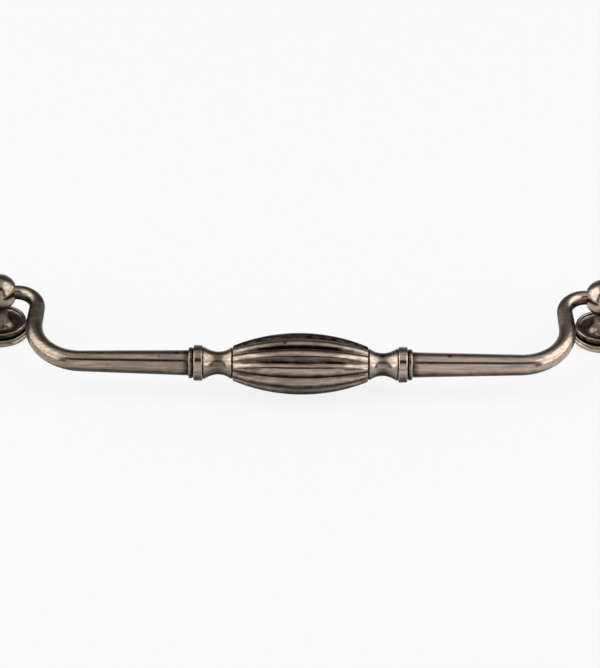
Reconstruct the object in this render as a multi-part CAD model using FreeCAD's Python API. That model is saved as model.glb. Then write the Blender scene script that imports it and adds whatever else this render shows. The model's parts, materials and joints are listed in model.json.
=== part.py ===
# Drop pull for a drawer front: two ball posts on stepped round bases, and one cast bail
# that swings in them, with a reeded grip between two necks and two pairs of collars.
# Millimetres. The posts stand on Z = 0 with their axes on the X axis, the origin is midway
# between them, and the bail lies towards -Y with its grip just clear of the drawer front.

import FreeCAD, Part
import math
import os

Vector = FreeCAD.Vector
X_AXIS = Vector(1, 0, 0)
Z_AXIS = Vector(0, 0, 1)
ORIGIN = Vector(0, 0, 0)
TOUCHING = 1e-6

# Posts: stepped base
hole_spacing = 224.0
base_diameter = 22.2
flange_height = 1.6
foot_round = 0.25
flange_round = 0.6
step_inset = 0.7
step_height = 0.7
step_round = 0.3
rim_inset = 1.3
rim_height = 1.8
rim_width = 1.1
cove_depth = 0.9
cove_height = 0.9

# Posts: dish, neck and ball
dish_depth = 1.4
dish_floor_inset = 3.2
neck_diameter = 6.0
ball_diameter = 13.7
pivot_height = 17.4

# Posts: socket for the bail's end, and tapped hole for the mounting screw
socket_face = 6.0
socket_past_axis = 2.5
pivot_clearance = 0.05
end_clearance = 0.3
screw_diameter = 4.2
drill_point_angle = 118.0
web_over_screw = 3.4

# Bail: bent rod, tapering from the pivot to the collars
pivot_diameter = 5.2
elbow_diameter = 7.7
rod_diameter = 9.3
bend_start = 6.65
upper_bend_radius = 7.9
leg_lean = 5.0
leg_length = 7.4
lower_bend_radius = 18.1
rod_droop = 0.6
end_chamfer = 0.4

# Bail: collars and necks
small_ring_diameter = 11.6
small_ring_width = 2.1
small_ring_crown = 0.8
big_ring_diameter = 13.1
big_ring_width = 3.4
big_ring_round = 0.7
neck_length = 10.0
neck_root_diameter = 11.5
waist_diameter = 8.4
flare_diameter = 12.0
flare_land = 0.4
groove_width = 0.6
groove_depth = 0.7

# Bail: reeded grip
grip_length = 49.6
grip_diameter = 23.1
grip_end_diameter = 13.4
reed_count = 12
reed_depth = 1.0
reed_end_depth = 0.5
reed_end_round = 1.6
grip_stations = 9
rest_gap = 0.1

# Heights and radii of the post
base_radius = base_diameter / 2
ball_radius = ball_diameter / 2
neck_radius = neck_diameter / 2
socket_radius = pivot_diameter / 2 + pivot_clearance
screw_radius = screw_diameter / 2
step_top = flange_height + step_height
rim_under = step_top + cove_height
rim_top = rim_under + rim_height
rim_radius = base_radius - rim_inset
rim_inner_radius = rim_radius - rim_width
dish_floor = rim_top - dish_depth
dish_floor_radius = rim_radius - dish_floor_inset
neck_top = pivot_height - math.sqrt(ball_radius**2 - neck_radius**2)
drill_point = screw_radius / math.tan(math.radians(drill_point_angle / 2))
screw_depth = pivot_height - socket_radius - web_over_screw - drill_point

# Stations of the bail along X, measured from the middle
post_x = hole_spacing / 2
grip_half = grip_length / 2
groove_end = grip_half + groove_width
neck_end = groove_end + neck_length
big_ring_end = neck_end + big_ring_width
collar_end = big_ring_end + small_ring_width

# Corners of the bent rod, as distances from the post axis and from the pivot axis
lean = math.radians(leg_lean)
droop = math.radians(rod_droop)
full_turn = math.pi / 2 + lean
leg_top_across = bend_start + upper_bend_radius * math.sin(full_turn)
leg_top_down = upper_bend_radius * (1 - math.cos(full_turn))
leg_foot_across = leg_top_across - leg_length * math.sin(lean)
leg_foot_down = leg_top_down + leg_length * math.cos(lean)
rod_start_across = leg_foot_across + lower_bend_radius * (math.sin(full_turn) - math.sin(droop))
rod_start_down = leg_foot_down + lower_bend_radius * (math.cos(droop) - math.cos(full_turn))
rod_end_across = post_x - collar_end + small_ring_width / 2
drop = rod_start_down + (rod_end_across - rod_start_across) * math.tan(droop)
rest_tilt = math.degrees(math.asin((pivot_height - grip_diameter / 2 - rest_gap) / drop))


def line(start, end):
    return Part.LineSegment(start, end).toShape()


def arc(start, middle, end):
    return Part.Arc(start, middle, end).toShape()


def sweep_in(start, corner, end):
    """A curve that leaves start towards corner and arrives at end from it."""
    curve = Part.BezierCurve()
    curve.setPoles([start, corner, end])
    return curve.toShape()


def rounded_line(corners):
    """Straight runs through the corners, each a point and the radius that rounds it."""
    edges = []
    last = corners[0][0]
    for (before, _), (point, radius), (after, _) in zip(corners, corners[1:], corners[2:]):
        back = (before - point).normalize()
        ahead = (after - point).normalize()
        half = back.getAngle(ahead) / 2
        start = point + back * (radius / math.tan(half))
        end = point + ahead * (radius / math.tan(half))
        to_centre = (back + ahead).normalize()
        middle = point + to_centre * (radius / math.sin(half) - radius)
        if last.distanceToPoint(start) > TOUCHING:
            edges.append(line(last, start))
        if radius > 0:
            edges.append(arc(start, middle, end))
        last = end
    if last.distanceToPoint(corners[-1][0]) > TOUCHING:
        edges.append(line(last, corners[-1][0]))
    return edges


def revolved(edges, axis):
    face = Part.Face(Part.Wire(edges))
    return face.revolve(ORIGIN, axis, 360)


def post_blank():
    """Base, dish, neck and ball turned about Z, before its holes are cut."""

    def at(radius, height):
        return Vector(radius, 0, height)

    step_radius = base_radius - step_inset
    cove_radius = rim_radius - cove_depth
    rim_inside = at(rim_inner_radius, rim_top - rim_width / 2)
    base = rounded_line([
        (at(0, 0), 0),
        (at(base_radius, 0), foot_round),
        (at(base_radius, flange_height), flange_round),
        (at(step_radius, flange_height), 0),
        (at(step_radius, step_top), step_round),
        (at(cove_radius, step_top), cove_height / 2),
        (at(cove_radius, rim_under), cove_height / 2),
        (at(rim_radius, rim_under), step_round),
        (at(rim_radius, rim_top), rim_width / 2),
        (at(rim_inner_radius, rim_top), rim_width / 2),
        (rim_inside, 0),
    ])
    floor = at(dish_floor_radius, dish_floor)
    neck = at(neck_radius, neck_top)
    pole = at(0, pivot_height + ball_radius)
    upper = [
        sweep_in(rim_inside, at(rim_inner_radius, dish_floor), floor),
        sweep_in(floor, at(neck_radius, dish_floor), neck),
        arc(neck, at(ball_radius, pivot_height), pole),
        line(pole, at(0, 0)),
    ]
    return revolved(base + upper, Z_AXIS)


def post():
    """A post standing at the origin, with its socket facing +X."""
    spot_face = Part.makeCylinder(ball_radius, ball_radius, Vector(socket_face, 0, pivot_height), X_AXIS)
    socket_length = socket_past_axis + ball_radius
    socket_start = Vector(-socket_past_axis, 0, pivot_height)
    socket = Part.makeCylinder(socket_radius, socket_length, socket_start, X_AXIS)
    screw_hole = Part.makeCylinder(screw_radius, screw_depth)
    hole_tip = Part.makeCone(screw_radius, 0, drill_point, Vector(0, 0, screw_depth))
    return post_blank().cut([spot_face, socket, screw_hole.fuse(hole_tip)])


def rod_path():
    """Edges of the left rod's centre line, flat in the XY plane with the pivot on X."""

    def at(across, down):
        return Vector(across - post_x, -down, 0)

    upper_centre = at(bend_start, upper_bend_radius)
    upper_half = full_turn / 2
    upper_middle = upper_centre + Vector(math.sin(upper_half), math.cos(upper_half), 0) * upper_bend_radius
    lower_centre = at(rod_start_across + lower_bend_radius * math.sin(droop),
                      rod_start_down - lower_bend_radius * math.cos(droop))
    lower_half = (full_turn + droop) / 2
    lower_middle = lower_centre - Vector(math.sin(lower_half), math.cos(lower_half), 0) * lower_bend_radius
    tip = at(end_clearance - socket_past_axis, 0)
    bend = at(bend_start, 0)
    leg_top = at(leg_top_across, leg_top_down)
    leg_foot = at(leg_foot_across, leg_foot_down)
    rod_start = at(rod_start_across, rod_start_down)
    rod_end = at(rod_end_across, drop)
    return {
        "pivot": [line(tip, bend)],
        "bends": [arc(bend, upper_middle, leg_top), line(leg_top, leg_foot),
                  arc(leg_foot, lower_middle, rod_start)],
        "rod": [line(rod_start, rod_end)],
    }


def disc_wire(edge, at_end, diameter):
    """A circle square to an edge of the path, at its start or its end."""
    where = edge.LastParameter if at_end else edge.FirstParameter
    return Part.Wire(Part.makeCircle(diameter / 2, edge.valueAt(where), edge.tangentAt(where)))


def tapered(edges, start_diameter, end_diameter):
    """A round bar along the edges whose diameter changes evenly."""
    bar = Part.BRepOffsetAPI.MakePipeShell(Part.Wire(edges))
    bar.setBiNormalMode(Z_AXIS)
    bar.add(disc_wire(edges[0], False, start_diameter))
    bar.add(disc_wire(edges[-1], True, end_diameter))
    bar.build()
    bar.makeSolid()
    return bar.shape()


def left_rod():
    path = rod_path()
    pivot = tapered(path["pivot"], pivot_diameter, pivot_diameter)
    tip_edge = min(pivot.Edges, key=lambda edge: edge.CenterOfMass.x)
    pivot = pivot.makeChamfer(end_chamfer, [tip_edge])
    bends = tapered(path["bends"], pivot_diameter, elbow_diameter)
    rod = tapered(path["rod"], elbow_diameter, rod_diameter)
    return [pivot, bends, rod]


def left_collar():
    """Neck, big ring and small ring, turned about X, from the middle of the pull outwards."""

    def at(along, radius):
        return Vector(-along, radius, 0)

    flare_radius = flare_diameter / 2
    groove_radius = flare_radius - groove_depth
    neck_root = at(neck_end, neck_root_diameter / 2)
    neck_flare = at(groove_end + flare_land, flare_radius)
    neck_waist = at((groove_end + flare_land + neck_end) / 2, waist_diameter / 2)
    inner = [
        line(at(0, 0), at(0, groove_radius)),
        line(at(0, groove_radius), at(groove_end, groove_radius)),
        line(at(groove_end, groove_radius), at(groove_end, flare_radius)),
        line(at(groove_end, flare_radius), neck_flare),
        arc(neck_flare, neck_waist, neck_root),
    ]
    bead_radius = small_ring_diameter / 2
    bead_start = at(big_ring_end, bead_radius - small_ring_crown)
    bead_top = at(big_ring_end + small_ring_width / 2, bead_radius)
    bead_end = at(collar_end, bead_radius - small_ring_crown)
    big_ring = rounded_line([
        (neck_root, 0),
        (at(neck_end, big_ring_diameter / 2), big_ring_round),
        (at(big_ring_end, big_ring_diameter / 2), big_ring_round),
        (bead_start, 0),
    ])
    small_ring = [
        arc(bead_start, bead_top, bead_end),
        line(bead_end, at(collar_end, 0)),
        line(at(collar_end, 0), at(0, 0)),
    ]
    return revolved(inner + big_ring + small_ring, X_AXIS)


def reed_wire(along, crest, depth):
    """The grip's outline at one station: an arc over each reed, meeting in sharp grooves."""
    pitch = 2 * math.pi / reed_count

    def at(radius, turn):
        return Vector(along, -radius * math.cos(turn), radius * math.sin(turn))

    arcs = []
    for reed in range(reed_count):
        turn = reed * pitch
        left = at(crest - depth, turn - pitch / 2)
        right = at(crest - depth, turn + pitch / 2)
        arcs.append(arc(left, at(crest, turn), right))
    return Part.Wire(arcs)


def grip():
    """The reeded barrel about X, fullest in the middle, with the reeds rounded off at its ends."""
    rise = (grip_diameter - grip_end_diameter) / 2
    barrel_radius = (grip_half**2 + rise**2) / (2 * rise)
    barrel_centre = grip_diameter / 2 - barrel_radius
    wires = []
    for station in range(grip_stations):
        along = grip_half * (2 * station / (grip_stations - 1) - 1)
        crest = barrel_centre + math.sqrt(barrel_radius**2 - along**2)
        depth = reed_depth + (reed_end_depth - reed_depth) * (along / grip_half)**2
        wires.append(reed_wire(along, crest, depth))
    reeded = Part.makeLoft(wires, True, False)

    def at(along, radius):
        return Vector(along, radius, 0)

    end_radius = grip_end_diameter / 2
    envelope = rounded_line([
        (at(-grip_half, 0), 0),
        (at(-grip_half, end_radius), reed_end_round),
        (at(0, grip_diameter), 0),
        (at(grip_half, end_radius), reed_end_round),
        (at(grip_half, 0), 0),
        (at(-grip_half, 0), 0),
    ])
    return reeded.common(revolved(envelope, X_AXIS))


def bail():
    """The whole bail, lowered from its flat plane until the grip is just clear of the front."""
    to_grip = Vector(0, -drop, 0)
    half = left_rod() + [left_collar().translated(to_grip)]
    other_half = [shape.mirror(ORIGIN, X_AXIS) for shape in half]
    flat = grip().translated(to_grip).multiFuse(half + other_half).removeSplitter()
    flat.rotate(ORIGIN, X_AXIS, rest_tilt)
    return flat.translated(Vector(0, 0, pivot_height))


left_post = post().translated(Vector(-post_x, 0, 0))
right_post = left_post.mirror(ORIGIN, X_AXIS)

nodes = {
    "left_post": left_post,
    "right_post": right_post,
    "bail": bail(),
}

os.makedirs("parts", exist_ok=True)
for name, shape in nodes.items():
    shape.exportStep("parts/" + name + ".step")
    box = shape.optimalBoundingBox()
    print(name, "solids", len(shape.Solids), "faces", len(shape.Faces), "valid", shape.isValid(),
          "volume", round(shape.Volume, 1),
          "box", [round(v, 2) for v in (box.XMin, box.YMin, box.ZMin, box.XMax, box.YMax, box.ZMax)])
print("drop", round(drop, 2), "rest tilt", round(rest_tilt, 2), "screw depth", round(screw_depth, 2))
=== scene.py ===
import json
import math

import bmesh
import bpy
from bpy.props import FloatProperty, FloatVectorProperty, IntProperty, PointerProperty
from mathutils import Matrix, Vector
from mathutils.bvhtree import BVHTree


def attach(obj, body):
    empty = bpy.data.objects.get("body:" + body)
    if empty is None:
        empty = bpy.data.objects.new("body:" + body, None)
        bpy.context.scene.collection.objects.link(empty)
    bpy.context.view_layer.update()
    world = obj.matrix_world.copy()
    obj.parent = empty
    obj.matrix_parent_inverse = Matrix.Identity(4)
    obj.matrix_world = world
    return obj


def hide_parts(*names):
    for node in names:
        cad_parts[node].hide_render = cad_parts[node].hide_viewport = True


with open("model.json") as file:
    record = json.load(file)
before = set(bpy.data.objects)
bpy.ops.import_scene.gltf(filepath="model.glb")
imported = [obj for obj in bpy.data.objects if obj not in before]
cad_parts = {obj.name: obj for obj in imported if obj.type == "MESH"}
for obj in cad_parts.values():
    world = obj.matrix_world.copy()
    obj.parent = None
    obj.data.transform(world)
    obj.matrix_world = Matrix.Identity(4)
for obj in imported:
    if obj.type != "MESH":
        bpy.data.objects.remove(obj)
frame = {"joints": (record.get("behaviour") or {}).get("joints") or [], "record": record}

bl_info = {
    "name": "Drop pull",
    "version": (1, 0, 0),
    "blender": (4, 5, 0),
    "location": "View3D > Sidebar > Drop Pull",
    "description": "A cast drop pull with a reeded grip, swinging in two ball posts",
    "category": "Add Mesh",
}

MM = 0.001
ORIGIN = Vector((0, 0, 0))
X_AXIS = Vector((1, 0, 0))
Z_AXIS = Vector((0, 0, 1))
ROUND_STEP = math.radians(15)
TOUCHING = 0.002 * MM
SHARP_EDGE = math.radians(35)
# Painted light and shade by facing: lightest where a surface faces the upper front, a little less where it
# faces back and down, darkest where it faces up, sideways and down in front; the lower bends' outer sides
# get a painted highlight
LIGHT_FACING_FRONT = Vector((0, -0.8, 0.6))
LIGHT_FACING_BEHIND = Vector((0, 0.8, 0.6))
BEHIND_SHARE = 0.7
AWAY_SHARE = 0.8
OUTER_BEND_HIGHLIGHT = 1.6
DARKEST_FACING = 0.14
UPPER_FRONT = math.radians(35)
# The paper lies a hair below the bases
FLOOR_GAP = 0.05 * MM
FLOOR_RADIUS = 6
# How white the paper is to the eye, and in the metal's reflections
SEEN_WHITE = 0.85
MIRRORED_WHITE = 0.5
# Brightness of the room by angle, from level in front, over the top, to level behind
ROOM_LIGHT = [(0, 0.85), (40, 0.85), (44, 0.02), (64, 0.02), (68, 0.8), (118, 0.8),
              (130, 0.2), (150, 0.2), (168, 0.5), (180, 0.5)]
# How much of it is missing low down, by bearing from the front, between the front light and the softboxes
SIDE_GAP = [(0, 0), (29, 0), (33, 1), (44, 1), (48, 0), (180, 0)]
PICTURE_WIDTH = 600
PICTURE_HEIGHT = 668
# The pivot line's middle stands a little above and right of the picture's centre
PIVOT_IN_PICTURE = Vector((301.1, 295.0))
PIVOT_HEIGHT = frame["joints"][0]["pos_m"][2]
HOLES = next(mount for mount in frame["record"]["mounts"] if mount["kind"] == "bolt_pattern")
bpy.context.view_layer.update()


def length(name, description, millimetres):
    return FloatProperty(name=name, description=description, default=millimetres * MM,
                         precision=5, unit="LENGTH")


def angle(name, description, degrees):
    return FloatProperty(name=name, description=description, default=math.radians(degrees),
                         subtype="ANGLE")


def colour(name, description, code):
    return FloatVectorProperty(name=name, description=description, subtype="COLOR", size=4,
                               default=hex_colour(code), min=0, max=1)


def hex_colour(code):
    """A colour written as six sRGB hex digits, as linear red, green, blue and alpha."""
    shares = [int(code[place:place + 2], 16) / 255 for place in (0, 2, 4)]
    return [s / 12.92 if s <= 0.04045 else ((s + 0.055) / 1.055) ** 2.4 for s in shares] + [1]


class PostSizes(bpy.types.PropertyGroup):
    spacing: length("Hole spacing", "Between the axes of the two posts", HOLES["dims"]["spacing_x_mm"])
    base_diameter: length("Base diameter", "Across the foot of a post", 22.19)
    flange_height: length("Flange height", "Thickness of the lowest disc", 1.6)
    step_inset: length("Step inset", "How far the second disc stands in from the flange", 0.7)
    step_height: length("Step height", "Thickness of the second disc", 0.7)
    rim_inset: length("Rim inset", "How far the rim stands in from the flange", 1.3)
    rim_height: length("Rim height", "Height of the rim over its cove", 1.8)
    rim_width: length("Rim width", "Width of the rim's rounded top", 1.1)
    cove: length("Cove", "Height and depth of the cove under the rim", 0.9)
    dish_depth: length("Dish depth", "How far the dish lies below the rim", 1.4)
    dish_floor_inset: length("Dish floor inset", "From the rim's outside to the dish's lowest ring", 3.2)
    neck_diameter: length("Neck diameter", "Across the neck where it meets the ball", 6.0)
    ball_diameter: length("Ball diameter", "Across the ball", 13.7)
    socket_diameter: length("Socket diameter", "Across the blind hole that takes the bail's end", 5.3)
    socket_face: length("Socket face", "From the ball's centre to its flat", 6.0)
    socket_past: length("Socket depth", "How far the socket runs past the ball's centre", 2.5)
    screw_diameter: length("Screw diameter", "Across the tapped hole in the base",
                           2 * HOLES["dims"]["hole_r_mm"])
    screw_depth: length("Screw depth", "Depth of the tapped hole to its drilled point", 10.1)
    thread_pitch: length("Thread pitch", "From one turn of the screw thread to the next", 0.79)


class BailSizes(bpy.types.PropertyGroup):
    pivot_diameter: length("Pivot diameter", "Across the ends that turn in the balls", 5.2)
    elbow_diameter: length("Elbow diameter", "Across the rod where its lower bend begins", 7.7)
    rod_diameter: length("Rod diameter", "Across the rod where it meets the collars", 9.3)
    end_reach: length("End reach", "How far an end runs past its post's axis", 2.2)
    bend_start: length("Bend start", "From the post's axis to the upper bend", 6.65)
    upper_bend: length("Upper bend", "Radius of the bend next to the ball", 7.9)
    leg_lean: angle("Leg lean", "How far the leg leans towards the middle", 5.0)
    leg_length: length("Leg length", "Straight run between the two bends", 7.4)
    lower_bend: length("Lower bend", "Radius of the bend from the leg to the rod", 18.1)
    rod_droop: angle("Rod droop", "How far the rod sinks towards the grip", 0.6)
    bead_diameter: length("Bead diameter", "Across the small ring", 11.4)
    bead_width: length("Bead width", "Width of the small ring", 1.8)
    bead_round: length("Bead round", "Radius of the small ring's edge towards the rod", 0.5)
    ring_diameter: length("Ring diameter", "Across the big ring", 13.1)
    ring_width: length("Ring width", "Width of the big ring", 3.4)
    neck_length: length("Neck length", "From the big ring to the groove at the grip", 10.5)
    neck_root: length("Neck root", "Across the neck at the big ring", 12.1)
    root_groove: length("Root groove", "Width of the fine groove between neck and big ring", 0.35)
    waist: length("Waist", "Across the neck's middle", 8.4)
    flare: length("Flare", "Across the neck at the groove", 11.6)
    groove_width: length("Groove width", "Width of the groove at each end of the grip", 0.4)
    groove_depth: length("Groove depth", "Depth of that groove below the flare", 0.3)
    grip_length: length("Grip length", "Length of the reeded grip", 49.6)
    grip_diameter: length("Grip diameter", "Across the grip's middle", 23.1)
    grip_end: length("Grip end", "Across the grip's ends", 13.0)
    reed_depth: length("Reed depth", "How far the grooves lie below the reeds in the middle", 1.0)
    groove_round: length("Groove round", "Radius at the bottom of the grooves between reeds", 0.25)
    reeds: IntProperty(name="Reeds", description="How many reeds run along the grip", default=12, min=5)


class PewterFinish(bpy.types.PropertyGroup):
    metal: colour("Pewter", "The metal where it is rubbed clean", "BCAA9C")
    worn: colour("Worn pewter", "The metal under a thin brown film", "918373")
    # The dark colour is real oxide in recesses and spots, and also the colour of the painted shade on sides
    # and undersides, under the rim and ball and inside the bends
    patina_and_shade: colour("Patina", "The oxide left in recesses and spots", "140D09")


class StudioSizes(bpy.types.PropertyGroup):
    floor_colour: colour("Floor", "Matt white paper", "D9D8D6")
    elevation: angle("Elevation", "How far the camera looks down", 35.0)
    distance: length("Distance", "From the camera to the pivot line", 1800.0)
    roll: angle("Roll", "How far the camera is turned about its view", 0.54)
    view_width: length("View width", "Width of the picture at the pivot line", 222.36)
    softbox_side: length("Softbox side", "From the middle out to each softbox", 800.0)
    softbox_front: length("Softbox front", "How far the softboxes stand in front", 35.0)
    softbox_height: length("Softbox height", "Height of the softboxes' middle", 945.0)
    softbox_width: length("Softbox width", "Width of each softbox", 1470.0)
    softbox_tall: length("Softbox tall", "Height of each softbox", 1700.0)
    softbox_watts: FloatProperty(name="Softbox power", description="Power of each softbox",
                                default=11.9)


def rounded(corners):
    """Points along straight runs through corners of (x, y, radius), each rounded by its radius."""
    points = [Vector(corners[0][:2])]
    for before, corner, after in zip(corners, corners[1:], corners[2:]):
        point = Vector(corner[:2])
        run_in = (point - Vector(before[:2])).normalized()
        run_out = (Vector(after[:2]) - point).normalized()
        sweep = math.atan2(run_in.cross(run_out), run_in.dot(run_out))
        side = math.copysign(corner[2], sweep)
        start = point - run_in * corner[2] * math.tan(abs(sweep) / 2)
        hub = start + Vector((-run_in.y, run_in.x)) * side
        steps = max(1, math.ceil(abs(sweep) / ROUND_STEP))
        for step in range(steps + 1):
            points.append(hub + Matrix.Rotation(sweep * step / steps, 2) @ (start - hub))
    points.append(Vector(corners[-1][:2]))
    return thinned(points)


def swept_in(start, corner, end, steps):
    """Points of a curve that leaves start towards corner and arrives at end from it."""
    start, corner, end = Vector(start), Vector(corner), Vector(end)
    shares = [step / steps for step in range(steps + 1)]
    return [start * (1 - s) ** 2 + corner * 2 * s * (1 - s) + end * s ** 2 for s in shares]


def arc_through(start, middle, end, steps):
    """Points of the circle's arc from start through middle to end."""
    start, middle, end = Vector(start), Vector(middle), Vector(end)
    to_middle, to_end = middle - start, end - start
    twice = 2 * to_middle.cross(to_end)
    hub = start + Vector((
        to_end.y * to_middle.length_squared - to_middle.y * to_end.length_squared,
        to_middle.x * to_end.length_squared - to_end.x * to_middle.length_squared,
    )) / twice
    spoke = start - hub
    sweep = -spoke.angle_signed(end - hub)
    return [hub + Matrix.Rotation(sweep * step / steps, 2) @ spoke for step in range(steps + 1)]


def thinned(points):
    """The points without those that fall on the one before."""
    kept = points[:1]
    for point in points[1:]:
        if (point - kept[-1]).length > TOUCHING:
            kept.append(point)
    return kept


def start_piece(name, place):
    """A new mesh in edit mode that holds one selected vertex."""
    bpy.ops.object.select_all(action="DESELECT")
    bpy.ops.mesh.primitive_plane_add(size=MM, location=ORIGIN)
    piece = bpy.context.object
    piece.name = piece.data.name = name
    bpy.ops.object.mode_set(mode="EDIT")
    bpy.ops.mesh.select_mode(type="VERT")
    bpy.ops.mesh.select_all(action="SELECT")
    bpy.ops.mesh.merge(type="CENTER")
    bpy.ops.transform.translate(value=place)
    return piece


def extrude(move=ORIGIN):
    bpy.ops.mesh.extrude_region_move(TRANSFORM_OT_translate={"value": move})


def turn(amount, axis, hub):
    """Turns the selection by the right-hand rule, which with no window is the other way round."""
    bpy.ops.transform.rotate(value=-amount, orient_axis=axis, center_override=hub)


def spin(amount, axis, hub, steps, copies=False):
    """Spins the selection by the right-hand rule, the other way from the operator's own sign."""
    bpy.ops.mesh.spin(steps=steps, angle=-amount, center=hub, axis=axis, dupli=copies)


def edit_whole():
    """Opens the active piece in edit mode with all of it selected."""
    bpy.ops.object.mode_set(mode="EDIT")
    bpy.ops.mesh.select_all(action="SELECT")


def close_seams():
    """Merges what lies together and turns all faces outwards."""
    bpy.ops.mesh.select_all(action="SELECT")
    bpy.ops.mesh.remove_doubles(threshold=TOUCHING)
    bpy.ops.mesh.normals_make_consistent(inside=False)


def turned_piece(name, outline, axis, across, steps):
    """Draws an outline of (across, along) points and spins it about its axis."""
    places = [across * point.x + axis * point.y for point in outline]
    piece = start_piece(name, places[0])
    for place, following in zip(places, places[1:]):
        extrude(following - place)
    bpy.ops.mesh.select_all(action="SELECT")
    spin(2 * math.pi, axis, ORIGIN, steps)
    close_seams()
    bpy.ops.object.mode_set(mode="OBJECT")
    return piece


def apply_modifier(piece, kind, **settings):
    bpy.context.view_layer.objects.active = piece
    modifier = piece.modifiers.new(kind.lower(), kind)
    for key, value in settings.items():
        setattr(modifier, key, value)
    bpy.ops.object.modifier_apply(modifier=modifier.name)


def select_only(piece):
    bpy.ops.object.select_all(action="DESELECT")
    piece.select_set(True)
    bpy.context.view_layer.objects.active = piece


def ease(value, start, end):
    """Climbs softly from 0 where the value is start to 1 where it is end."""
    share = min(max((value - start) / (end - start), 0), 1)
    return share * share * (3 - 2 * share)


def painted_facing_light(normal):
    """Painted light and shade for a surface that faces along normal, with a painted highlight on the lower
    bends' outer sides.
    """
    front = normal.dot(LIGHT_FACING_FRONT)
    outer_bend_highlight = OUTER_BEND_HIGHLIGHT * normal.x ** 2 * max(-normal.y, 0)
    in_front = ease(front + outer_bend_highlight, 0.5, 1)
    behind = BEHIND_SHARE * ease(normal.dot(LIGHT_FACING_BEHIND), 0.45, 1)
    away = AWAY_SHARE * ease(-front, -0.25, 0.25)
    return DARKEST_FACING + (1 - DARKEST_FACING) * max(in_front, behind, away)


def note_rubbing_and_shade(piece, reach, rays, kept):
    """Stores at each vertex how light its finish is painted: dark oxide and painted shade where its
    surroundings are closed within reach, and the painted light and shade of its facing. kept gives the
    share of this that a place keeps, with its own painted shade."""
    mesh = piece.data
    tree = BVHTree.FromObject(piece, bpy.context.evaluated_depsgraph_get())
    golden = math.pi * (3 - math.sqrt(5))
    lift = 0.02 * MM
    spokes = []
    for ray in range(rays):
        height = math.sqrt(1 - (ray + 0.5) / rays)
        spread = math.sqrt(1 - height ** 2)
        spokes.append(Vector((spread * math.cos(ray * golden), spread * math.sin(ray * golden), height)))
    rubbing = []
    for vertex in mesh.vertices:
        facing = vertex.normal.to_track_quat("Z", "Y").to_matrix()
        start = vertex.co + vertex.normal * lift
        free = sum(tree.ray_cast(start, facing @ spoke, reach)[0] is None for spoke in spokes) / rays
        rubbing.append(ease(free, 0.4, 1) * painted_facing_light(vertex.normal) * kept(vertex.co))
    mesh.attributes.new("rubbing", "FLOAT", "POINT").data.foreach_set("value", rubbing)


def add_node(tree, kind, inputs=None, **settings):
    """Adds a node. Settings are its own, and inputs are values or the sockets that feed it."""
    node = tree.nodes.new("ShaderNode" + kind)
    for key, value in settings.items():
        setattr(node, key, value)
    for key, value in (inputs or {}).items():
        if isinstance(value, bpy.types.NodeSocket):
            tree.links.new(value, node.inputs[key])
        else:
            node.inputs[key].default_value = value
    return node


def over_angle(tree, turned, stops):
    """A value that follows an angle from 0 to 180 degrees through stops of (degrees, value)."""
    share = add_node(tree, "Math", {0: turned, 1: math.pi}, operation="DIVIDE")
    ramp = add_node(tree, "ValToRGB", {"Fac": share.outputs[0]})
    elements = ramp.color_ramp.elements
    while len(elements) < len(stops):
        elements.new(1.0)
    for element, (degrees, value) in zip(elements, stops):
        element.position = degrees / 180
        element.color = (value, value, value, 1)
    return ramp.outputs[0]


def new_tree(owner):
    owner.use_nodes = True
    owner.node_tree.nodes.clear()
    return owner.node_tree


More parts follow.
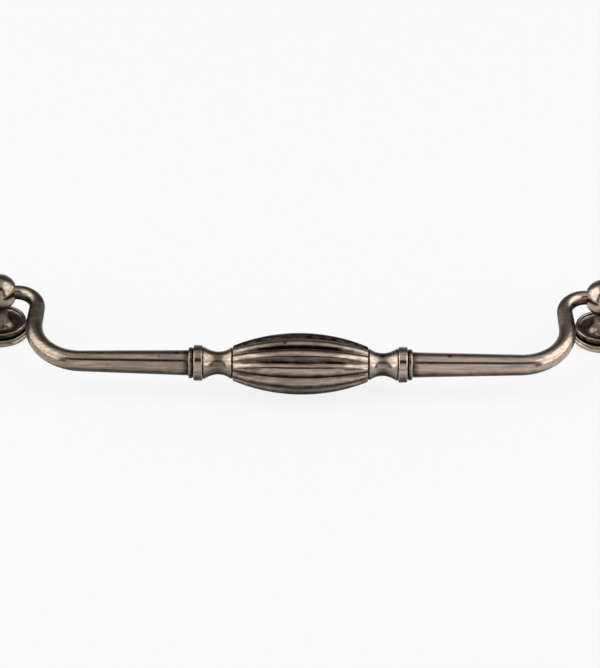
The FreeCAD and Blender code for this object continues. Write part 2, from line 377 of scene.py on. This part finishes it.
def antiqued_pewter():
    """Zinc casting plated in pewter, darkened and rubbed back by hand: warm grey metal on what stands out,
    near black in what lies back. The stored attribute also paints shade, darker where a surface turns from
    the upper front, under the rim and the ball, inside the bends and on the reeds' lower flanks, and paints
    a highlight on the lower bends' outer sides."""
    name = "antiqued dark pewter, rubbed casting"
    if name in bpy.data.materials:
        return bpy.data.materials[name]
    finish = bpy.context.scene.drop_pull_finish
    material = bpy.data.materials.new(name)
    tree = new_tree(material)
    place = add_node(tree, "TexCoord").outputs["Object"]
    rubbing = add_node(tree, "Attribute", attribute_name="rubbing").outputs["Fac"]

    # The cloth leaves cloudy patches some 3 mm across and faint lines along the pull, under 1 mm apart
    clouds = add_node(tree, "TexNoise", {"Vector": place, "Scale": 1 / (3 * MM), "Detail": 5.0})
    drawn_out = (1 / (14 * MM), 1 / (0.8 * MM), 1 / (0.8 * MM))
    along = add_node(tree, "Mapping", {"Vector": place, "Scale": drawn_out})
    lines = add_node(tree, "TexNoise", {"Vector": along.outputs[0], "Scale": 1.0, "Detail": 2.0})
    uneven = add_node(tree, "Math", {0: clouds.outputs["Fac"], 1: 0.42, 2: rubbing},
                      operation="MULTIPLY_ADD")
    uneven = add_node(tree, "Math", {0: lines.outputs["Fac"], 1: 0.2, 2: uneven.outputs[0]},
                      operation="MULTIPLY_ADD")
    # rubbed is the finish's lightness, and it carries the painted light and shade of the stored attribute
    rubbed = add_node(tree, "MapRange", {"Value": uneven.outputs[0], "From Min": 0.34, "From Max": 1.26})

    # The metal is darker and browner on the left arm than on the right
    across = add_node(tree, "SeparateXYZ", {0: place})
    arm = add_node(tree, "MapRange", {"Value": across.outputs["X"], "From Min": -60 * MM,
                                      "From Max": 60 * MM, "To Min": -0.12, "To Max": 0.12})
    film = add_node(tree, "Math", {0: lines.outputs["Fac"], 1: arm.outputs[0]}, operation="ADD")
    film = add_node(tree, "MapRange", {"Value": film.outputs[0], "From Min": 0.35, "From Max": 0.65})
    metal = add_node(tree, "Mix", {0: film.outputs[0], 6: finish.worn, 7: finish.metal},
                     data_type="RGBA")

    # Here and there a pit of the casting, under 2 mm across, has kept its black
    pits = add_node(tree, "TexVoronoi", {"Vector": place, "Scale": 1 / (5 * MM)})
    chance = add_node(tree, "SeparateColor", {0: pits.outputs["Color"]})
    reach = add_node(tree, "MapRange", {"Value": chance.outputs[0], "From Min": 0.5, "To Max": 0.3})
    edge = add_node(tree, "Math", {0: pits.outputs["Distance"], 1: reach.outputs[0]},
                    operation="SUBTRACT")
    clear = add_node(tree, "MapRange", {"Value": edge.outputs[0], "From Min": -0.12, "From Max": 0.02,
                                        "To Min": 0.25})
    shown = add_node(tree, "Math", {0: rubbed.outputs[0], 1: clear.outputs[0]}, operation="MULTIPLY")
    skin = add_node(tree, "Mix", {0: shown.outputs[0], 6: finish.patina_and_shade, 7: metal.outputs[2]},
                    data_type="RGBA")

    # Rubbed metal is smooth and mirrors softly, the black is duller, and both keep the casting's fine grain
    rough = add_node(tree, "MapRange", {"Value": rubbed.outputs[0], "To Min": 0.38, "To Max": 0.17})
    grain = add_node(tree, "TexNoise", {"Vector": place, "Scale": 1 / (0.7 * MM), "Detail": 3.0})
    bump = add_node(tree, "Bump", {"Height": grain.outputs["Fac"], "Strength": 0.1,
                                   "Distance": 0.04 * MM})
    shader = add_node(tree, "BsdfPrincipled", {
        "Base Color": skin.outputs[2], "Metallic": 1.0, "Roughness": rough.outputs[0],
        "Normal": bump.outputs[0],
    })
    add_node(tree, "OutputMaterial", {"Surface": shader.outputs[0]})
    return material


def finish_piece(piece, body, node):
    """Gives a finished casting its surface and its place in the pull."""
    select_only(piece)
    bpy.ops.object.shade_smooth_by_angle(angle=SHARP_EDGE)
    piece.data.materials.append(antiqued_pewter())
    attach(piece, body)
    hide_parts(node)


class DROPPULL_OT_posts(bpy.types.Operator):
    """Turns one post with its ball, socket and tapped hole, and copies it for the other side"""
    bl_idname = "drop_pull.posts"
    bl_label = "Ball posts"
    bl_options = {"REGISTER", "UNDO"}

    def outline(self, sizes):
        """The post's edge from the point of its screw hole, round the base, to the top of its ball."""
        hole = sizes.screw_diameter / 2
        lead_in = 0.45 * MM
        foot = sizes.base_diameter / 2
        step = foot - sizes.step_inset
        rim = foot - sizes.rim_inset
        rim_inside = rim - sizes.rim_width
        cove = rim - sizes.cove
        step_top = sizes.flange_height + sizes.step_height
        rim_under = step_top + sizes.cove
        rim_top = rim_under + sizes.rim_height
        rim_lip = rim_top - sizes.rim_width / 2
        dish = rim_top - sizes.dish_depth
        dish_floor = rim - sizes.dish_floor_inset
        neck = sizes.neck_diameter / 2
        ball = sizes.ball_diameter / 2
        neck_top = PIVOT_HEIGHT - math.sqrt(ball ** 2 - neck ** 2)
        drill_point = hole * 0.6
        cove_round = sizes.cove * 0.45
        rim_round = sizes.rim_width * 0.49
        base = rounded([
            (0, sizes.screw_depth + drill_point, 0),
            (hole, sizes.screw_depth, 0),
            (hole, lead_in, 0),
            (hole + lead_in, 0, 0),
            (foot, 0, 0.25 * MM),
            (foot, sizes.flange_height, 0.6 * MM),
            (step, sizes.flange_height, 0.1 * MM),
            (step, step_top, 0.3 * MM),
            (cove, step_top, cove_round),
            (cove, rim_under, cove_round),
            (rim, rim_under, 0.3 * MM),
            (rim, rim_top, rim_round),
            (rim_inside, rim_top, rim_round),
            (rim_inside, rim_lip, 0),
        ])
        dished = swept_in((rim_inside, rim_lip), (rim_inside, dish), (dish_floor, dish), 10)
        waisted = swept_in((dish_floor, dish), (neck, dish), (neck, neck_top), 24)
        equator = (ball, PIVOT_HEIGHT)
        globe = arc_through((neck, neck_top), equator, (0, PIVOT_HEIGHT + ball), 48)
        return thinned(base + dished + waisted + globe)

    def socket_cutter(self, sizes):
        """The shape that leaves the ball's flat with a soft edge, and its blind hole with a lead-in."""
        ball = sizes.ball_diameter / 2
        hole = sizes.socket_diameter / 2
        lead_in = 0.25 * MM
        soft = 0.3 * MM
        inset = sizes.socket_face - soft
        hub = Vector((math.sqrt((ball - soft) ** 2 - inset ** 2), inset))
        leave = hub.normalized() * ball
        past = leave + Vector((leave.y, -leave.x)).normalized() * 2 * soft
        sweep = math.atan2(hub.x, hub.y)
        steps = 4
        edge = [hub + Matrix.Rotation(-sweep * step / steps, 2) @ Vector((0, soft))
                for step in range(steps + 1)]
        outline = [
            Vector((0, -sizes.socket_past)),
            Vector((hole, -sizes.socket_past)),
            Vector((hole, sizes.socket_face - lead_in)),
            Vector((hole + lead_in, sizes.socket_face)),
            *edge,
            past,
            Vector((past.x, 2 * ball)),
            Vector((0, 2 * ball)),
        ]
        cutter = turned_piece("socket_cutter", outline, X_AXIS, Z_AXIS, 96)
        cutter.location.z = PIVOT_HEIGHT
        return cutter

    def thread(self, sizes):
        """A ridge that winds up the wall of the screw hole, its foot sunk in the wall."""
        pitch = sizes.thread_pitch
        half = pitch * 0.42
        flank, flat = half * 0.8, half * 0.4
        foot = sizes.screw_diameter / 2 + 0.1 * MM
        crest = sizes.screw_diameter / 2 - pitch * 0.5
        turns = math.floor((sizes.screw_depth - 2 * pitch) / pitch)
        ridge = start_piece("thread", (foot, 0, pitch * 0.9 - half))
        extrude((crest - foot, 0, flank))
        extrude((0, 0, flat))
        extrude((foot - crest, 0, flank))
        bpy.ops.mesh.select_all(action="SELECT")
        bpy.ops.mesh.edge_face_add()
        bpy.ops.mesh.delete(type="ONLY_FACE")
        bpy.ops.object.mode_set(mode="OBJECT")
        apply_modifier(ridge, "SCREW", axis="Z", angle=2 * math.pi, steps=32, render_steps=32,
                       screw_offset=pitch, iterations=turns)
        edit_whole()
        bpy.ops.mesh.fill_holes(sides=4)
        close_seams()
        bpy.ops.object.mode_set(mode="OBJECT")
        return ridge

    def painted_shade_kept(self, sizes):
        """How much of its light a place keeps: little on the rim's outside next to the black cove, painted
        shade with dark oxide, and at the top of the neck, painted shade close under the ball."""
        rim = sizes.base_diameter / 2 - sizes.rim_inset
        step_top = sizes.flange_height + sizes.step_height
        rim_top = step_top + sizes.cove + sizes.rim_height
        neck_top = PIVOT_HEIGHT - math.sqrt(sizes.ball_diameter ** 2 - sizes.neck_diameter ** 2) / 2

        def kept(place):
            if place.z < step_top + TOUCHING or place.z > neck_top + TOUCHING:
                return 1
            if place.z > rim_top:
                # Painted shade at the top of the neck, under the ball
                return 1 - 0.75 * ease(place.z, neck_top - 4 * MM, neck_top - 1 * MM)
            # Painted shade with dark oxide on the rim's outside, next to the cove
            out = Vector((abs(place.x) - sizes.spacing / 2, place.y)).length
            outside = ease(out, rim - 0.6 * sizes.rim_width, rim - 0.2 * sizes.rim_width)
            return 1 - 0.85 * outside * ease(rim_top - place.z, 0.1 * MM, 0.5 * MM)

        return kept

    def execute(self, context):
        sizes = context.scene.drop_pull_posts
        left = turned_piece("left_ball_post", self.outline(sizes), Z_AXIS, X_AXIS, 120)
        cutter = self.socket_cutter(sizes)
        select_only(left)
        apply_modifier(left, "BOOLEAN", object=cutter, operation="DIFFERENCE", solver="EXACT")
        bpy.data.objects.remove(cutter)
        bpy.ops.object.mode_set(mode="EDIT")
        close_seams()
        bpy.ops.object.mode_set(mode="OBJECT")
        ridge = self.thread(sizes)
        select_only(left)
        ridge.select_set(True)
        bpy.ops.object.join()
        edit_whole()
        bpy.ops.transform.translate(value=(-sizes.spacing / 2, 0, 0))
        bpy.ops.object.mode_set(mode="OBJECT")
        select_only(left)
        bpy.ops.object.duplicate(linked=False)
        right = context.object
        right.name = right.data.name = "right_ball_post"
        edit_whole()
        turn(math.pi, "Z", ORIGIN)
        bpy.ops.object.mode_set(mode="OBJECT")
        for post, node in ((left, "left_post"), (right, "right_post")):
            note_rubbing_and_shade(post, 8 * MM, 48, self.painted_shade_kept(sizes))
            finish_piece(post, "posts", node)
        return {"FINISHED"}


class GrowingBar:
    """Grows a bar ring by ring in the flat plane of the bail, from the ring that is selected."""

    def __init__(self, centre, radius):
        self.centre = Vector(centre)
        self.heading = X_AXIS.copy()
        self.radius = radius

    def swell(self, radius):
        if abs(radius - self.radius) > TOUCHING / 10:
            bpy.ops.transform.resize(value=[radius / self.radius] * 3, center_override=self.centre)
            self.radius = radius

    def ahead(self, step, radius):
        extrude(self.heading * step)
        self.centre += self.heading * step
        self.swell(radius)

    def straight(self, run, radius, steps):
        first = self.radius
        for step in range(1, steps + 1):
            self.ahead(run / steps, first + (radius - first) * step / steps)

    def bend(self, amount, bend_radius, radius, steps):
        first = self.radius
        each = amount / steps
        sideways = Vector((-self.heading.y, self.heading.x, 0))
        hub = self.centre + sideways * math.copysign(bend_radius, amount)
        spin_once = Matrix.Rotation(each, 3, "Z")
        for step in range(1, steps + 1):
            extrude()
            turn(each, "Z", hub)
            self.centre = hub + spin_once @ (self.centre - hub)
            self.heading = spin_once @ self.heading
            self.swell(first + (radius - first) * step / steps)

    def make_round(self):
        """Draws the selected ring to a true circle."""
        bpy.ops.transform.tosphere(value=1, center_override=self.centre)
        ring = bmesh.from_edit_mesh(bpy.context.object.data)
        self.radius = next((v.co - self.centre).length for v in ring.verts if v.select)


class BailRubbingAndShade:
    """Says how much of its light a place on the bail keeps, under painted shade with dark oxide in its
    recesses.
    """

    def __init__(self, sizes, half_spacing, rest_tilt, grip_axis, bead_end):
        self.sizes = sizes
        self.bend_start = half_spacing - sizes.bend_start
        self.rest_tilt = rest_tilt
        self.grip_axis = grip_axis
        self.grip_end = sizes.grip_length / 2
        self.ring_end = bead_end - sizes.bead_width
        self.bead_end = bead_end

    def kept(self, place):
        along = abs(place.x)
        if along > self.bend_start - self.sizes.upper_bend - self.sizes.elbow_diameter:
            return self.in_upper_bend(place)
        # Painted shade with dark oxide on the rod beside the bead, and on the bead beside the big ring
        if along > self.bead_end:
            return 1 - 0.75 * ease(self.bead_end + 2.8 * MM - along, 0, 2.4 * MM)
        if along > self.ring_end + TOUCHING:
            return 1 - 0.7 * ease(self.bead_end - along, 0.4 * MM, 0.9 * MM)
        spoke = place - self.grip_axis
        if along > self.grip_end:
            return self.on_neck(along, spoke)
        return self.on_reed(along / self.grip_end, math.atan2(spoke.z, -spoke.y))

    def in_upper_bend(self, place):
        """Painted shade inside the bend and down the inside of the leg."""
        flat = Matrix.Rotation(-self.rest_tilt, 3, "X") @ (place - Vector((0, 0, PIVOT_HEIGHT)))
        bend = self.sizes.upper_bend
        spoke = Vector((abs(place.x) - self.bend_start, max(flat.y + bend, 0)))
        return 1 - 0.85 * ease(bend - spoke.length, 1.5 * MM, 2.5 * MM)

    def on_neck(self, along, spoke):
        """Painted shade with dark oxide in the waist, and painted shade below it in front."""
        half = self.sizes.neck_length / 2
        waist = 1 - abs(along - (self.grip_end + self.sizes.groove_width + half)) / half
        low = ease(-spoke.z, -2 * MM, 3 * MM) if waist > 0 else 0
        low *= 1 - ease(spoke.y, -1 * MM, 2 * MM)
        return (1 - 0.45 * ease(waist, 0, 1)) * (1 - 0.7 * low)

    def on_reed(self, along, climb):
        """Painted shade with dark oxide on the lower flanks, most in the middle of the two top reeds. The
        hidden reeds are darkened alike on both flanks."""
        pitch = 2 * math.pi / self.sizes.reeds
        reed = round((climb + self.rest_tilt) / pitch) * pitch - self.rest_tilt
        flank = (climb - reed) / (pitch / 2)
        if math.cos(reed - UPPER_FRONT) < -0.1:
            return 1 - 0.6 * ease(abs(flank), 0.5, 1)
        low = -0.85 if reed < -0.5 else -0.4 if reed < 0 else 0
        edge = 0.88 * ease(-flank, low, low + 0.75) + 0.5 * ease(flank, 0.55, 1)
        if reed > math.pi / 2:
            return 1 - max(edge, 0.75 * ease(-flank, -0.5, 0.1))
        lens = 1 - ease(along, 0.5, 0.95)
        if math.sin(reed) > 0.9:
            edge = 0.5 * edge + (0.15 + 0.85 * ease(-flank, 0.35, 0.6) - 0.5 * edge) * lens
        elif math.sin(reed) > 0.5:
            dark = 0.6 * ease(-flank, 0.05, 0.2) + 0.36 * ease(-flank, 0.45, 0.65)
            edge = 0.6 * edge + (dark - 0.6 * edge) * lens
        return 1 - edge


class DROPPULL_OT_bail(bpy.types.Operator):
    """Draws the reeds, grows half the bail from the grip's middle out to its pivot, and mirrors it"""
    bl_idname = "drop_pull.bail"
    bl_label = "Reeded bail"
    bl_options = {"REGISTER", "UNDO"}

    def reed_ring(self, sizes, centre):
        """The grip's outline in the middle: a round back for each reed, a small hollow between two."""
        crest = sizes.grip_diameter / 2
        half_pitch = math.pi / sizes.reeds
        valley = crest - sizes.reed_depth
        half_chord = valley * math.sin(half_pitch)
        rise = crest - valley * math.cos(half_pitch)
        reed = (half_chord ** 2 + rise ** 2) / (2 * rise)
        across = (crest - reed) * math.sin(half_pitch)
        out = (crest - reed) * math.cos(half_pitch)
        hollow_out = out + math.sqrt((reed + sizes.groove_round) ** 2 - across ** 2)
        hollow_half = math.atan2(across, hollow_out - out)
        reed_half = hollow_half + half_pitch
        outward = Vector((0, -1, 0))
        reed_hub = centre + outward * (crest - reed)
        hollow_hub = centre + Matrix.Rotation(half_pitch, 3, "X") @ outward * hollow_out
        start = reed_hub + Matrix.Rotation(-reed_half, 3, "X") @ outward * reed
        piece = start_piece("reeded_bail", start)
        spin(2 * reed_half, X_AXIS, reed_hub, 9)
        spin(-2 * hollow_half, X_AXIS, hollow_hub, 3)
        bpy.ops.mesh.select_all(action="SELECT")
        spin(2 * math.pi, X_AXIS, centre, sizes.reeds, copies=True)
        bpy.ops.mesh.select_all(action="SELECT")
        bpy.ops.mesh.remove_doubles(threshold=TOUCHING)
        bpy.ops.mesh.select_all(action="SELECT")
        return piece

    def grip_half(self, sizes):
        """Crest of the reeds from the middle to the rounded end, as (along, radius)."""
        half = sizes.grip_length / 2
        middle, end = sizes.grip_diameter / 2, sizes.grip_end / 2
        end_round = 1.0 * MM
        steps = 56
        barrel = arc_through((-half, end), (0, middle), (half, end), steps)[steps // 2:-3]
        return rounded([(p.x, p.y, 0) for p in barrel]
                       + [(half, end, end_round), (half, end - end_round, 0)])

    def collars(self, sizes):
        """Groove, neck, big ring and bead from the grip to the rod, as (along, radius)."""
        groove_start = sizes.grip_length / 2
        groove_end = groove_start + sizes.groove_width
        neck_end = groove_end + sizes.neck_length
        ring_end = neck_end + sizes.ring_width
        bead_end = ring_end + sizes.bead_width
        flare, waist, root = sizes.flare / 2, sizes.waist / 2, sizes.neck_root / 2
        floor = flare - sizes.groove_depth
        big, small = sizes.ring_diameter / 2, sizes.bead_diameter / 2
        fine = neck_end - sizes.root_groove
        fine_floor = root - 0.4 * MM
        lip = groove_end + 0.15 * MM
        waist_at = groove_end + sizes.neck_length * 0.466
        crisp = 0.1 * MM
        ring_round = 0.6 * MM
        step_end = ring_end + 0.35 * MM
        step_floor = small - 0.25 * MM
        bead_top = ring_end + 0.8 * MM
        groove = rounded([(groove_start, floor, 0), (groove_end - crisp, floor, crisp),
                          (groove_end, flare, crisp), (lip, flare, 0)])
        flared = swept_in((lip, flare), (groove_end + 2.2 * MM, waist), (waist_at, waist), 10)
        rooted = swept_in((waist_at, waist), (waist_at + 2.4 * MM, waist), (fine, root), 10)
        ring = rounded([(fine, root, 0), (fine + crisp, fine_floor, crisp / 2),
                        (neck_end, fine_floor, crisp / 2), (neck_end, big, ring_round),
                        (ring_end, big, ring_round), (ring_end, step_floor, crisp),
                        (step_end, step_floor, crisp), (step_end + 0.15 * MM, small, crisp),
                        (bead_top, small, 0)])
        bead = rounded([(bead_top, small, 0), (bead_end, small, sizes.bead_round),
                        (bead_end, small - sizes.bead_round - crisp, 0)])
        return thinned(groove + flared + rooted + ring + bead)

    def execute(self, context):
        sizes = context.scene.drop_pull_bail
        half_spacing = context.scene.drop_pull_posts.spacing / 2
        full_turn = math.pi / 2 + sizes.leg_lean
        lower_turn = full_turn - sizes.rod_droop

        # Where the rod's straight run begins and ends, from the post's axis and the pivot line
        leg_top = (sizes.bend_start + sizes.upper_bend * math.sin(full_turn),
                   sizes.upper_bend * (1 - math.cos(full_turn)))
        leg_foot = (leg_top[0] - sizes.leg_length * math.sin(sizes.leg_lean),
                    leg_top[1] + sizes.leg_length * math.cos(sizes.leg_lean))
        rod_start = (
            leg_foot[0] + sizes.lower_bend * (math.sin(full_turn) - math.sin(sizes.rod_droop)),
            leg_foot[1] + sizes.lower_bend * (math.cos(sizes.rod_droop) - math.cos(full_turn)),
        )
        collars = self.collars(sizes)
        rod_run = half_spacing - collars[-1].x - rod_start[0]
        drop = rod_start[1] + rod_run * math.tan(sizes.rod_droop)
        centre = Vector((0, -drop, 0))

        bail = self.reed_ring(sizes, centre)
        bar = GrowingBar(centre, sizes.grip_diameter / 2)
        for along, radius in self.grip_half(sizes)[1:]:
            bar.ahead(along - bar.centre.x, radius)
        extrude()
        bar.make_round()
        bar.swell(collars[0].y)
        for along, radius in collars[1:]:
            bar.ahead(along - bar.centre.x, radius)

        # A small fillet leads from the bead to the rod
        shoulder = sizes.rod_diameter / 2
        bar.ahead(0, shoulder + 0.25 * MM)
        bar.ahead(0.08 * MM, shoulder + 0.08 * MM)
        bar.ahead(0.2 * MM, shoulder)
        turn(sizes.rod_droop, "Z", bar.centre)
        bar.heading = Matrix.Rotation(sizes.rod_droop, 3, "Z") @ bar.heading

        # The rod tapers evenly from its shoulder to the elbow, and from there to the pivot
        pivot, elbow = sizes.pivot_diameter / 2, sizes.elbow_diameter / 2
        end_bevel = 0.4 * MM
        rod_left = half_spacing - rod_start[0] - bar.centre.x
        bar.straight(rod_left / math.cos(sizes.rod_droop), elbow, 40)
        lower_run = lower_turn * sizes.lower_bend
        upper_run = full_turn * sizes.upper_bend
        taper = (elbow - pivot) / (lower_run + sizes.leg_length + upper_run)
        bar.bend(lower_turn, sizes.lower_bend, elbow - taper * lower_run, 34)
        bar.straight(sizes.leg_length, bar.radius - taper * sizes.leg_length, 7)
        bar.bend(-full_turn, sizes.upper_bend, pivot, 28)
        bar.straight(sizes.bend_start + sizes.end_reach - end_bevel, pivot, 9)
        bar.ahead(end_bevel, pivot - end_bevel)
        extrude()
        bpy.ops.mesh.merge(type="CENTER")
        bpy.ops.object.mode_set(mode="OBJECT")

        # The other half is its mirror image, and the grip then rests just clear of the mounting plane
        apply_modifier(bail, "MIRROR", use_axis=(True, False, False), use_mirror_merge=True,
                       merge_threshold=TOUCHING)
        bpy.ops.object.mode_set(mode="EDIT")
        close_seams()
        bpy.ops.mesh.select_all(action="SELECT")
        rest_gap = 0.1 * MM
        rest_tilt = math.asin((PIVOT_HEIGHT - sizes.grip_diameter / 2 - rest_gap) / drop)
        turn(rest_tilt, "X", ORIGIN)
        bpy.ops.transform.translate(value=(0, 0, PIVOT_HEIGHT))
        bpy.ops.object.mode_set(mode="OBJECT")
        grip_axis = Matrix.Rotation(rest_tilt, 3, "X") @ centre + Vector((0, 0, PIVOT_HEIGHT))
        rubbing = BailRubbingAndShade(sizes, half_spacing, rest_tilt, grip_axis, collars[-1].x)
        note_rubbing_and_shade(bail, 4 * MM, 40, rubbing.kept)
        finish_piece(bail, "bail", "bail")
        return {"FINISHED"}


class DROPPULL_OT_stage(bpy.types.Operator):
    """Lays a white floor, lights it softly and sets up the camera"""
    bl_idname = "drop_pull.stage"
    bl_label = "Stage"
    bl_options = {"REGISTER", "UNDO"}

    def floor(self, studio):
        bpy.ops.object.select_all(action="DESELECT")
        bpy.ops.mesh.primitive_circle_add(vertices=64, radius=FLOOR_RADIUS, fill_type="NGON",
                                          location=(0, 0, -FLOOR_GAP))
        floor = bpy.context.object
        floor.name = floor.data.name = "floor"
        material = bpy.data.materials.new("matt white paper")
        tree = new_tree(material)
        matt = add_node(tree, "BsdfDiffuse", {"Color": studio.floor_colour})
        white = add_node(tree, "Emission", {"Color": (1, 1, 1, 1), "Strength": 1.0})
        light = add_node(tree, "LightPath").outputs
        mirrored = add_node(tree, "Math", {0: light["Is Glossy Ray"], 1: MIRRORED_WHITE},
                            operation="MULTIPLY")
        share = add_node(tree, "Math", {0: light["Is Camera Ray"], 1: SEEN_WHITE, 2: mirrored.outputs[0]},
                         operation="MULTIPLY_ADD")
        paper = add_node(tree, "MixShader", {0: share.outputs[0], 1: matt.outputs[0],
                                             2: white.outputs[0]})
        add_node(tree, "OutputMaterial", {"Surface": paper.outputs[0]})
        floor.data.materials.append(material)

    def room_light(self):
        """A dim room that is bright in front and overhead, with a dark gap between, dark gaps on both sides
        of the front and a dark back."""
        world = bpy.data.worlds.new("studio")
        bpy.context.scene.world = world
        tree = new_tree(world)
        way = add_node(tree, "TexCoord").outputs["Generated"]
        parts = add_node(tree, "SeparateXYZ", {0: way}).outputs
        front = add_node(tree, "Math", {0: parts["Y"], 1: -1.0}, operation="MULTIPLY")
        climb = add_node(tree, "Math", {0: parts["Z"], 1: front.outputs[0]}, operation="ARCTAN2")
        room = over_angle(tree, climb.outputs[0], ROOM_LIGHT)
        aside = add_node(tree, "Math", {0: parts["X"]}, operation="ABSOLUTE")
        bearing = add_node(tree, "Math", {0: aside.outputs[0], 1: front.outputs[0]}, operation="ARCTAN2")
        gap = over_angle(tree, bearing.outputs[0], SIDE_GAP)
        low = add_node(tree, "MapRange", {"Value": parts["Z"], "From Min": 0.45, "From Max": 0.65,
                                          "To Min": 0.93, "To Max": 0.0})
        dim = add_node(tree, "Math", {0: gap, 1: low.outputs[0]}, operation="MULTIPLY")
        lit = add_node(tree, "Math", {0: 1.0, 1: dim.outputs[0]}, operation="SUBTRACT")
        glow = add_node(tree, "Background", {"Color": room, "Strength": lit.outputs[0]})
        add_node(tree, "OutputWorld", {"Surface": glow.outputs[0]})

    def softbox(self, studio, name, side):
        """An upright panel beside the pull, facing it."""
        place = Vector((side * studio.softbox_side, -studio.softbox_front, studio.softbox_height))
        bpy.ops.object.light_add(type="AREA", location=place)
        lamp = bpy.context.object
        lamp.name = lamp.data.name = name
        lamp.data.shape = "RECTANGLE"
        lamp.data.size, lamp.data.size_y = studio.softbox_width, studio.softbox_tall
        lamp.data.energy = studio.softbox_watts
        lamp.rotation_mode = "QUATERNION"
        lamp.rotation_quaternion = Vector((place.x, place.y, 0)).to_track_quat("Z", "Y")

    def camera(self, studio):
        bpy.ops.object.camera_add()
        camera = bpy.context.object
        camera.name = camera.data.name = "camera"
        back = Vector((0, -math.cos(studio.elevation), math.sin(studio.elevation)))
        facing = Matrix((X_AXIS, back.cross(X_AXIS), back)).transposed()
        facing = (facing @ Matrix.Rotation(studio.roll, 3, "Z")).to_4x4()
        facing.translation = Vector((0, 0, PIVOT_HEIGHT)) + back * studio.distance
        camera.matrix_world = facing
        lens = camera.data
        lens.sensor_fit = "HORIZONTAL"
        lens.lens = lens.sensor_width * studio.distance / studio.view_width
        lens.shift_x = (PICTURE_WIDTH / 2 - PIVOT_IN_PICTURE.x) / PICTURE_WIDTH
        lens.shift_y = (PIVOT_IN_PICTURE.y - PICTURE_HEIGHT / 2) / PICTURE_WIDTH
        lens.clip_end = 20
        bpy.context.scene.camera = camera

    def execute(self, context):
        studio = context.scene.drop_pull_studio
        self.floor(studio)
        self.room_light()
        self.softbox(studio, "left_softbox", -1)
        self.softbox(studio, "right_softbox", 1)
        self.camera(studio)
        context.scene.view_settings.view_transform = "Standard"
        return {"FINISHED"}


class DROPPULL_PT_panel(bpy.types.Panel):
    """Sizes, colours and steps of the drop pull"""
    bl_idname = "DROPPULL_PT_panel"
    bl_label = "Drop Pull"
    bl_space_type = "VIEW_3D"
    bl_region_type = "UI"
    bl_category = "Drop Pull"

    def draw(self, context):
        groups = (context.scene.drop_pull_posts, context.scene.drop_pull_bail,
                  context.scene.drop_pull_finish, context.scene.drop_pull_studio)
        for group in groups:
            box = self.layout.box()
            for key in group.__annotations__:
                box.prop(group, key)
        for operator in OPERATORS:
            self.layout.operator(operator.bl_idname)


GROUPS = {
    "drop_pull_posts": PostSizes,
    "drop_pull_bail": BailSizes,
    "drop_pull_finish": PewterFinish,
    "drop_pull_studio": StudioSizes,
}
OPERATORS = (DROPPULL_OT_posts, DROPPULL_OT_bail, DROPPULL_OT_stage)


def register():
    for name, group in GROUPS.items():
        bpy.utils.register_class(group)
        setattr(bpy.types.Scene, name, PointerProperty(type=group))
    for cls in (*OPERATORS, DROPPULL_PT_panel):
        bpy.utils.register_class(cls)


def unregister():
    for cls in (DROPPULL_PT_panel, *reversed(OPERATORS)):
        bpy.utils.unregister_class(cls)
    for name, group in reversed(GROUPS.items()):
        delattr(bpy.types.Scene, name)
        bpy.utils.unregister_class(group)


def main():
    register()
    bpy.ops.drop_pull.posts()
    bpy.ops.drop_pull.bail()
    bpy.ops.drop_pull.stage()
    bpy.context.view_layer.update()


if __name__ == "__main__":
    main()
